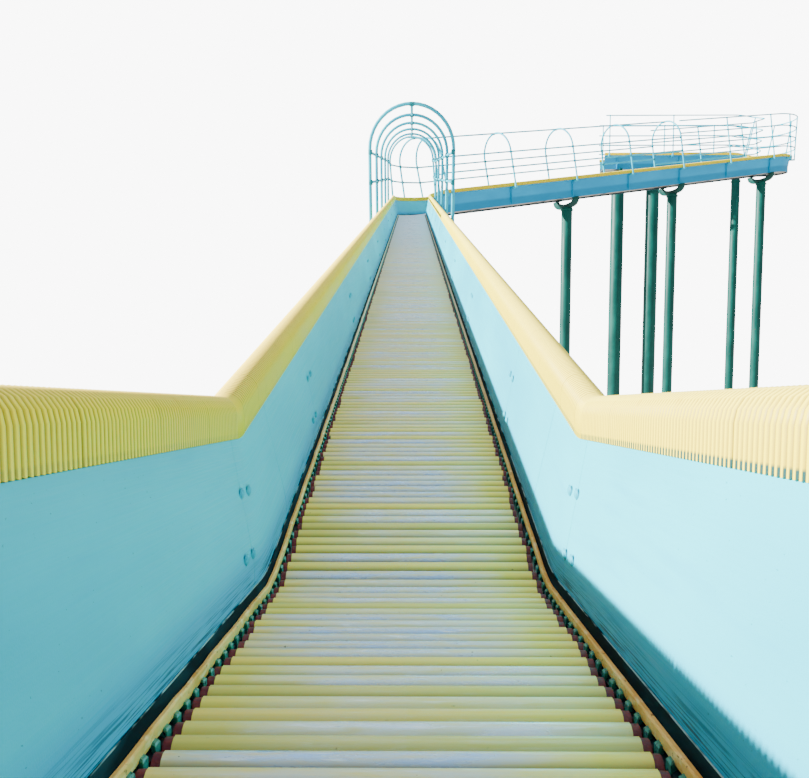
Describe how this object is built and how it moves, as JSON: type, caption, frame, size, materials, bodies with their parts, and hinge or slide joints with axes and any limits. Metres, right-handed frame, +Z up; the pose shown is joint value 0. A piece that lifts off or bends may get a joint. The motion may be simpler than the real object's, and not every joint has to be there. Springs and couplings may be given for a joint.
{
  "type": "roller slide",
  "caption": "Long park roller slide on steel columns: a straight run with a hoop tunnel, a bend, an upper run with hoops, a wide turn with railings and a start walkway.",
  "frame": {"origin": "on the ground, at the centre of the front foot plate's underside, under the exit end", "axes": "+Y up the slide and away from the exit, +X to the right seen from the exit, +Z up"},
  "size_m": [12.1904, 28.5878, 9.7609],
  "materials": {
    "wall_paint": "turquoise gloss paint, slightly weathered",
    "guard_rubber": "ribbed yellow edge guard",
    "roller_tube": "pale yellow, worn pale along the middle",
    "frame_steel": "dark teal paint, dusty",
    "cage_paint": "light teal gloss paint",
    "column_paint": "green-teal gloss paint",
    "deck_plate": "galvanised tread plate"
  },
  "bodies": {
    "structure": {"run_out_frame": "frame_steel", "long_run_frame": "frame_steel", "bend_frame": "frame_steel", "upper_run_frame": "frame_steel", "u_turn_frame": "frame_steel", "walkway_frame": "frame_steel", "run_out_wall_left": "wall_paint", "long_run_wall_left": "wall_paint", "bend_wall_left": "wall_paint", "upper_run_wall_left": "wall_paint", "u_turn_wall_left": "wall_paint", "walkway_wall_left": "wall_paint", "run_out_wall_right": "wall_paint", "long_run_wall_right": "wall_paint", "bend_wall_right": "wall_paint", "upper_run_wall_right": "wall_paint", "u_turn_wall_right": "wall_paint", "walkway_wall_right": "wall_paint", "lower_guard_left": "guard_rubber", "upper_guard_left": "guard_rubber", "start_guard_left": "guard_rubber", "lower_guard_right": "guard_rubber", "upper_guard_right": "guard_rubber", "start_guard_right": "guard_rubber", "exit_roller_bed": "roller_tube", "run_out_roller_bed": "roller_tube", "long_run_roller_bed": "roller_tube", "bend_roller_bed": "roller_tube", "upper_run_roller_bed": "roller_tube", "u_turn_roller_bed": "roller_tube", "walkway_deck": "deck_plate", "run_out_stand": "column_paint", "long_run_column_1": "column_paint", "long_run_column_2": "column_paint", "long_run_column_3": "column_paint", "long_run_column_4": "column_paint", "bend_column": "column_paint", "upper_run_column_1": "column_paint", "upper_run_column_2": "column_paint", "upper_run_column_3": "column_paint", "u_turn_column": "column_paint", "walkway_column_1": "column_paint", "walkway_column_2": "column_paint", "tunnel_side_left": "cage_paint", "tunnel_side_right": "cage_paint", "tunnel_crown": "cage_paint", "bend_cage": "cage_paint", "upper_cage_left": "cage_paint", "upper_cage_right": "cage_paint", "upper_cage_crown": "cage_paint", "outer_run_railing": "cage_paint", "outer_turn_railing": "cage_paint", "outer_walkway_railing": "cage_paint", "inner_railing": "cage_paint"},
    "roller_1": {"turning_roller_1": "roller_tube"},
    "roller_2": {"turning_roller_2": "roller_tube"},
    "roller_3": {"turning_roller_3": "roller_tube"},
    "roller_4": {"turning_roller_4": "roller_tube"}
  },
  "joints": [
    {"name": "roller_1_spin", "type": "hinge", "parent": "structure", "child": "roller_1", "pos_m": [0, 0.65581, 0.32865], "axis": [1, 0, 0], "continuous": true},
    {"name": "roller_2_spin", "type": "hinge", "parent": "structure", "child": "roller_2", "pos_m": [0, 0.70186, 0.32865], "axis": [1, 0, 0], "continuous": true},
    {"name": "roller_3_spin", "type": "hinge", "parent": "structure", "child": "roller_3", "pos_m": [0, 0.74791, 0.32865], "axis": [1, 0, 0], "continuous": true},
    {"name": "roller_4_spin", "type": "hinge", "parent": "structure", "child": "roller_4", "pos_m": [0, 0.79395, 0.32865], "axis": [1, 0, 0], "continuous": true}
  ]
}
